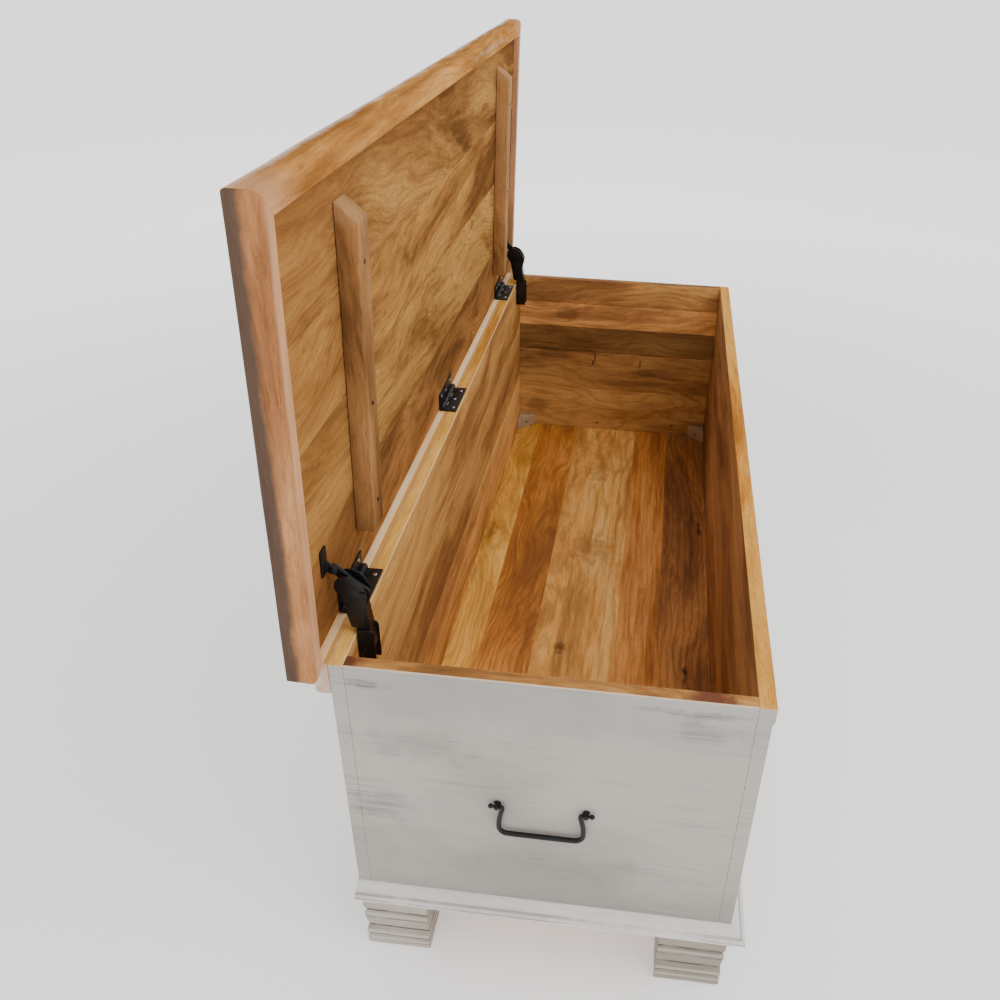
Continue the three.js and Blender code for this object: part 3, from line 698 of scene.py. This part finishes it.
# Marks on each floor board: (x, y, half length, half width) and strength.
FLOOR_MARKS = (
    (((0.2, -0.1963, 0.05, 0.004), 0.9), ((-0.185, -0.172, 0.04, 0.006), 0.9),
     ((0.3, -0.16, 0.12, 0.02), 0.3)),
    (((-0.05, -0.1, 0.1, 0.012), 0.25),),
    (((-0.153, 0.019, 0.017, 0.012), 0.75), ((0.114, -0.008, 0.06, 0.05), 0.45),
     ((0.384, 0.0, 0.07, 0.03), 0.4), ((-0.2, 0.05, 0.07, 0.012), 0.25)),
    (((0.2, 0.09, 0.12, 0.012), 0.3), ((-0.3, 0.12, 0.09, 0.012), 0.3)),
    (((0.142, 0.178, 0.05, 0.008), 0.6), ((0.02, 0.185, 0.06, 0.006), 0.4)))


def floor_extra(i):
    """Knots, cracks and grey-brown patches of one floor board."""

    def apply(net, color, parts):
        for (x, y, w, h), k in FLOOR_MARKS[i]:
            dark = (44, 24, 14) if k > 0.7 else (104, 68, 40)
            s = net.spot((x, y, floor_top), (w, h, 0.03), 0.9, 0.9)
            color = net.mix(net.times(s, k), color, rgb(*dark))
        # Lighter towards the near end, up to 1.4 times.
        worn = net.band(net.xyz()[0], 0.1, -0.45, 1.0, 1.4)
        return net.mix(1.0, color, net.grey(worn), "MULTIPLY")

    return apply


for i, tones in enumerate(FLOOR_TONES):
    m = wood(f"floor_wood_{i + 1}", 0, 50 + i, *tones, 1.2, 0, floor_extra(i), ringy=0.3)
    refine(f"floor_board_{i + 1}", [m], bevel=0.0005, cuts=((0, 24),), jitter=0.0003, seam=1)
under = wood("bearer_wood", 1, 60, *BROWN)
for node in ("floor_bearer_1", "floor_bearer_2"):
    refine(node, [under], bevel=0.001)
block_paint = paint("block_paint", 2, 61, (176, 152, 122), (146, 116, 86))
for row, sy in (("front", -1), ("back", 1)):
    for side, s in SIDES:
        node = f"corner_block_{row}_{side}"
        refine(node, [block_paint], bevel=0.001, cuts=((2, 4),), jitter=0.0004, freq=60)
        lo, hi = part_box(node)
        mid = (lo + hi) / 2
        out = Vector((-s, -sy, 0)).normalized()
        bm = screw_head(mid + out * 0.0002, out, 0.0022, 0.4)
        new_object(f"block_screw_{row}_{side}", bm, "carcass", [iron, recess_shade])

# ---------------------------------------------------------------- lid
rim_lo, rim_hi = lid_box("lid_rim_front")
REACH = rim_hi.y
LID_TOP = rim_hi.z
RIM_FACE = rim_lo.z
OUT = -lid_box("lid_rim_left")[0].x


def rim_extra(side):
    def apply(net, color, parts):
        streak = parts[1]
        inv = LID.inverted()
        col = []
        for r in range(3):
            d = net.vec("DOT_PRODUCT", net.pos, tuple(inv[r][:3]), out=1)
            col.append(net.plus(d, inv[r][3]))
        x, y, v = col
        rag = net.times(net.minus(net.noise(net.scaled((16, 16, 16), (2, 2, 2)), 1.0, 5, 0.65), 0.5), 0.016)
        edge = net.band(net.plus(v, rag), LID_TOP - 0.0205, LID_TOP - 0.0115)
        if side:
            warm = net.times(net.band(streak, 0.48, 0.62), 0.5)
            color = net.mix(warm, color, rgb(140, 88, 60))
            # Paler towards the inner face: a painted highlight.
            pale = net.band(net.abs(x), OUT - 0.005, OUT - 0.013)
            color = net.mix(net.times(pale, 0.35), color, rgb(226, 178, 138))
            return net.mix(net.times(edge, 0.85), color, rgb(66, 60, 56))
        lit = net.band(net.plus(v, rag), LID_TOP - 0.014, LID_TOP - 0.004)
        color = net.mix(net.times(lit, 0.6), color, rgb(238, 224, 208))
        pale = net.band(net.abs(x), OUT - 0.09, OUT - 0.01)
        color = net.mix(net.times(pale, 0.45), color, rgb(206, 160, 124))
        grey = net.spot(tuple(lid_point(0.3, REACH - 0.012, RIM_FACE)), (0.2, 0.02, 0.006), 0.8, 0.8)
        color = net.mix(net.times(grey, 0.4), color, rgb(168, 156, 138))
        return color

    return apply


def lid_paint_wear(net, color, parts):
    p = net.xyz()
    rub = net.noise(net.scaled((5, 12, 55), (8, 5, 1)), 1.0, 5, 0.62)
    patch = net.noise(net.scaled((1.6, 3, 5), (1, 9, 1)), 1.0, 3)
    fac = net.times(net.band(rub, 0.56, 0.68), net.band(patch, 0.46, 0.62))
    return net.mix(net.times(fac, 0.65), color, rgb(130, 116, 106))


lid_paint_x = paint("lid_top_paint_long", 0, 41, *CREAM, lid_paint_wear, 0.6)
lid_paint_z = paint("lid_top_paint_side", 2, 42, *CREAM, lid_paint_wear, 0.6)
RIM_TONES = ((196, 144, 98), (170, 116, 74), (122, 76, 46))
rim_side = wood("rim_wood_side", 2, 71, *RIM_TONES, 0.6, 0, rim_extra(True), spec=0.02)
rim_front = wood("rim_wood_front", 0, 72, (208, 154, 88), (184, 128, 68), (142, 92, 46), 0.8, 0,
                 rim_extra(False), spec=0.0)


def on_top(c, n):
    return 1 if n.dot(LID.to_3x3() @ Vector((0, 0, 1))) > 0.92 else 0


def at_mitre(edge):
    """An edge on the mitre plane of the lid's front corners, which stays sharp and tight."""
    inv = LID.inverted()
    return all(abs((OUT - abs(v.co.x)) - (REACH - (inv @ v.co).y)) < 0.0012 for v in edge.verts)


RIM = {"pick": on_top, "keep": at_mitre, "bevel": 0.001, "jitter": 0.0006, "freq": 11}
refine("lid_rim_front", [rim_front, lid_paint_x], cuts=((0, 30),), **RIM)
for side, s in SIDES:
    refine("lid_rim_" + side, [rim_side, lid_paint_z], cuts=((2, 14),), **RIM)

LID_TONES = (
    ((180, 126, 72), (150, 102, 56), (104, 68, 38)), ((192, 144, 80), (162, 116, 62), (112, 76, 40)),
    ((190, 142, 78), (160, 112, 60), (110, 72, 40)), ((184, 138, 78), (154, 108, 60), (102, 68, 38)))
# Knots on the lid's underside: x, height above the pin, half width and half height.
LID_KNOTS = ((0.2, 0.2, 0.02, 0.009), (-0.1, 0.27, 0.012, 0.006), (0.36, 0.33, 0.014, 0.006),
             (-0.46, 0.3, 0.012, 0.006))


def lid_extra(i):
    def apply(net, color, parts):
        streak = parts[1]
        p = net.xyz()
        yellow = net.times(net.band(streak, 0.35, 0.22), 0.5)
        color = net.mix(yellow, color, rgb(232, 186, 96))
        if i == 3:
            shade = net.band(p[2], PIN.z + 0.36, PIN.z + 0.43)
            color = net.mix(net.times(shade, 0.45), color, rgb(112, 70, 38))
        near = net.band(p[0], -0.34, -0.52, 0.0, 0.4)
        color = net.mix(near, color, rgb(132, 84, 42))
        for x, z, a, b in LID_KNOTS:
            k = net.spot((x, PIN.y + 0.01, PIN.z + z), (a, 0.05, b), 0.7, 0.7)
            color = net.mix(net.times(k, 0.6), color, rgb(96, 56, 30))
        return color

    return apply


for i, tones in enumerate(LID_TONES):
    m = wood(f"lid_wood_{i + 1}", 0, 80 + i, *tones, 1.6, 0.1 * (-1) ** i, lid_extra(i), 0.6, 0.2, 0.0, 0.5)
    refine(f"lid_board_{i + 1}", [m, lid_paint_x], on_top, bevel=0.0006, cuts=((0, 28),), jitter=0.0003)


def batten_extra(net, color, parts):
    p = net.xyz()
    return net.mix(net.times(net.band(p[2], PIN.z + 0.375, PIN.z + 0.392), 0.3), color, rgb(200, 158, 112))


batten_wood = wood("batten_wood", 2, 91, (172, 126, 78), (146, 102, 60), (102, 68, 40), 0.8, 0,
                   batten_extra, spec=0.02)
for side, s in SIDES:
    node = "lid_batten_" + side
    refine(node, [batten_wood], bevel=0.0012, cuts=((2, 16),), jitter=0.0006, freq=22)
    lo, hi = lid_box(node)
    for k, u in enumerate((0.085, 0.2, 0.345)):
        centre = lid_point((lo.x + hi.x) / 2, u, lo.z - 0.0001)
        bm = screw_head(centre, LID.to_3x3() @ Vector((0, 0, -1)), 0.0024, 0.3 + k)
        new_object(f"batten_screw_{side}_{k + 1}", bm, "lid", [iron, recess_shade])

# ---------------------------------------------------------------- hardware
for node in nodes:
    if slots[node] != "iron":
        continue
    if node.startswith("bail"):
        obj = refine(node, [iron], bevel=0, jitter=0)
        sub = obj.modifiers.new("smooth", "SUBSURF")
        sub.levels = sub.render_levels = 1
        for e in obj.data.edges:
            e.use_edge_sharp = False
    else:
        refine(node, [iron], bevel=0.00035, jitter=0.00005, freq=120, angle=28)

down = LID.to_3x3() @ Vector((0, 0, -1))
for i in (1, 2, 3):
    lo, hi = lid_box(f"hinge_lid_leaf_{i}")
    for k in range(3):
        x = lo.x + (hi.x - lo.x) * (0.14 + 0.36 * k)
        u = 0.0145 if k != 1 else 0.0105
        under_leaf = lid_point(x, u, lo.z if lo.z > 0 else 0.004 - 0.0018)
        bm = screw_head(under_leaf, down, 0.0026, 0.4 + k + i)
        new_object(f"hinge_lid_screw_{i}_{k + 1}", bm, "lid", [zinc, recess_shade])
        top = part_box(f"hinge_base_leaf_{i}")
        y = PIN.y - (0.0145 if k != 1 else 0.0105)
        bm = screw_head(Vector((x, y, PIN.z - 0.004 + 0.0018)), (0, 0, 1), 0.0026, 0.9 + k * i)
        new_object(f"hinge_base_screw_{i}_{k + 1}", bm, "carcass", [zinc, recess_shade])

# ---------------------------------------------------------------- floor, light and camera
def plane(name, size, z, colour, rough):
    mesh = bpy.data.meshes.new(name)
    corners = [(a * size, b * size, z) for a, b in ((-1, -1), (1, -1), (1, 1), (-1, 1))]
    mesh.from_pydata(corners, [], [(0, 1, 2, 3)])
    obj = bpy.data.objects.new(name, mesh)
    scene.collection.objects.link(obj)
    net = Net(name + "_surface")
    mesh.materials.append(net.finish(colour, rough, 0.1))
    net.bsdf.inputs["Emission Color"].default_value = (1, 1, 1, 1)
    # The floor glows, from 0.4 near the bench rising to 1.0 between 0.7 m and 3 m off: a bright backdrop
    # with a painted shade around the bench, and a glow that also lights it from below.
    d = net.vec("LENGTH", net.pos, out=1)
    net.put(net.bsdf.inputs["Emission Strength"], net.band(d, 0.7, 3.0, 0.4, 1.0))


plane("studio_floor", 60, 0.0, (0.93, 0.93, 0.93), 0.9)


def area(name, at, target, size, power, colour=(1, 1, 1)):
    lamp = bpy.data.lights.new(name, "AREA")
    lamp.shape = "RECTANGLE"
    lamp.size, lamp.size_y = size
    lamp.energy = power
    lamp.color = colour
    obj = bpy.data.objects.new(name, lamp)
    obj.location = at
    obj.rotation_euler = (Vector(target) - Vector(at)).to_track_quat("-Z", "Y").to_euler()
    scene.collection.objects.link(obj)


area("key", (-1.0, -1.6, 2.9), (0.0, 0.0, 0.3), (2.4, 2.4), 54)
area("fill", (-3.2, 0.4, 1.6), (0.0, 0.0, 0.3), (2.2, 2.2), 16)
area("far", (2.4, 0.6, 2.8), (0.2, 0.0, 0.2), (2.2, 2.2), 22)
world = bpy.data.worlds.new("studio")
scene.world = world
world.use_nodes = True
sky = world.node_tree
height = sky.nodes.new("ShaderNodeSeparateXYZ")
sky.links.new(sky.nodes.new("ShaderNodeTexCoord").outputs["Generated"], height.inputs[0])
strength = height.outputs[2]
for op, b, c in (("MULTIPLY_ADD", -1.0, 1.0), ("POWER", 8.0, 0.0), ("MULTIPLY_ADD", 1.3, 0.8)):
    step = sky.nodes.new("ShaderNodeMath")
    step.operation = op
    step.use_clamp = b == -1.0
    step.inputs[1].default_value, step.inputs[2].default_value = b, c
    sky.links.new(strength, step.inputs[0])
    strength = step.outputs[0]
sky.links.new(strength, sky.nodes["Background"].inputs[1])
sky.nodes["Background"].inputs[0].default_value = (1, 1, 1, 1)

PITCH, ROLL, TURN = 0.561, 0.029, 0.100  # radians
HALF_WIDTH, PANEL_HEIGHT = 0.215, 0.336
# Past the near end, in front of the carcass's centre line, and above the foot of its panels.
BEYOND_END, ACROSS, ABOVE = 0.63276, 0.06994, 0.96034
fwd = Vector((math.cos(PITCH) * math.cos(TURN), math.cos(PITCH) * math.sin(TURN), -math.sin(PITCH)))
right = Vector((math.sin(TURN), -math.cos(TURN), 0))
up = right.cross(fwd)
right, up = (math.cos(ROLL) * right + math.sin(ROLL) * up,
             -math.sin(ROLL) * right + math.cos(ROLL) * up)
camera = bpy.data.objects.new("Camera", bpy.data.cameras.new("Camera"))
scene.collection.objects.link(camera)
camera.matrix_world = Matrix((right, up, -fwd)).transposed().to_4x4()
camera.location = (-END - BEYOND_END, back_hi.y - HALF_WIDTH - ACROSS, TOP - PANEL_HEIGHT + ABOVE)
camera.data.sensor_width = 36
camera.data.lens = 33.02
camera.data.shift_x = -0.0596
camera.data.shift_y = -0.0129
camera.data.clip_start = 0.02
scene.camera = camera
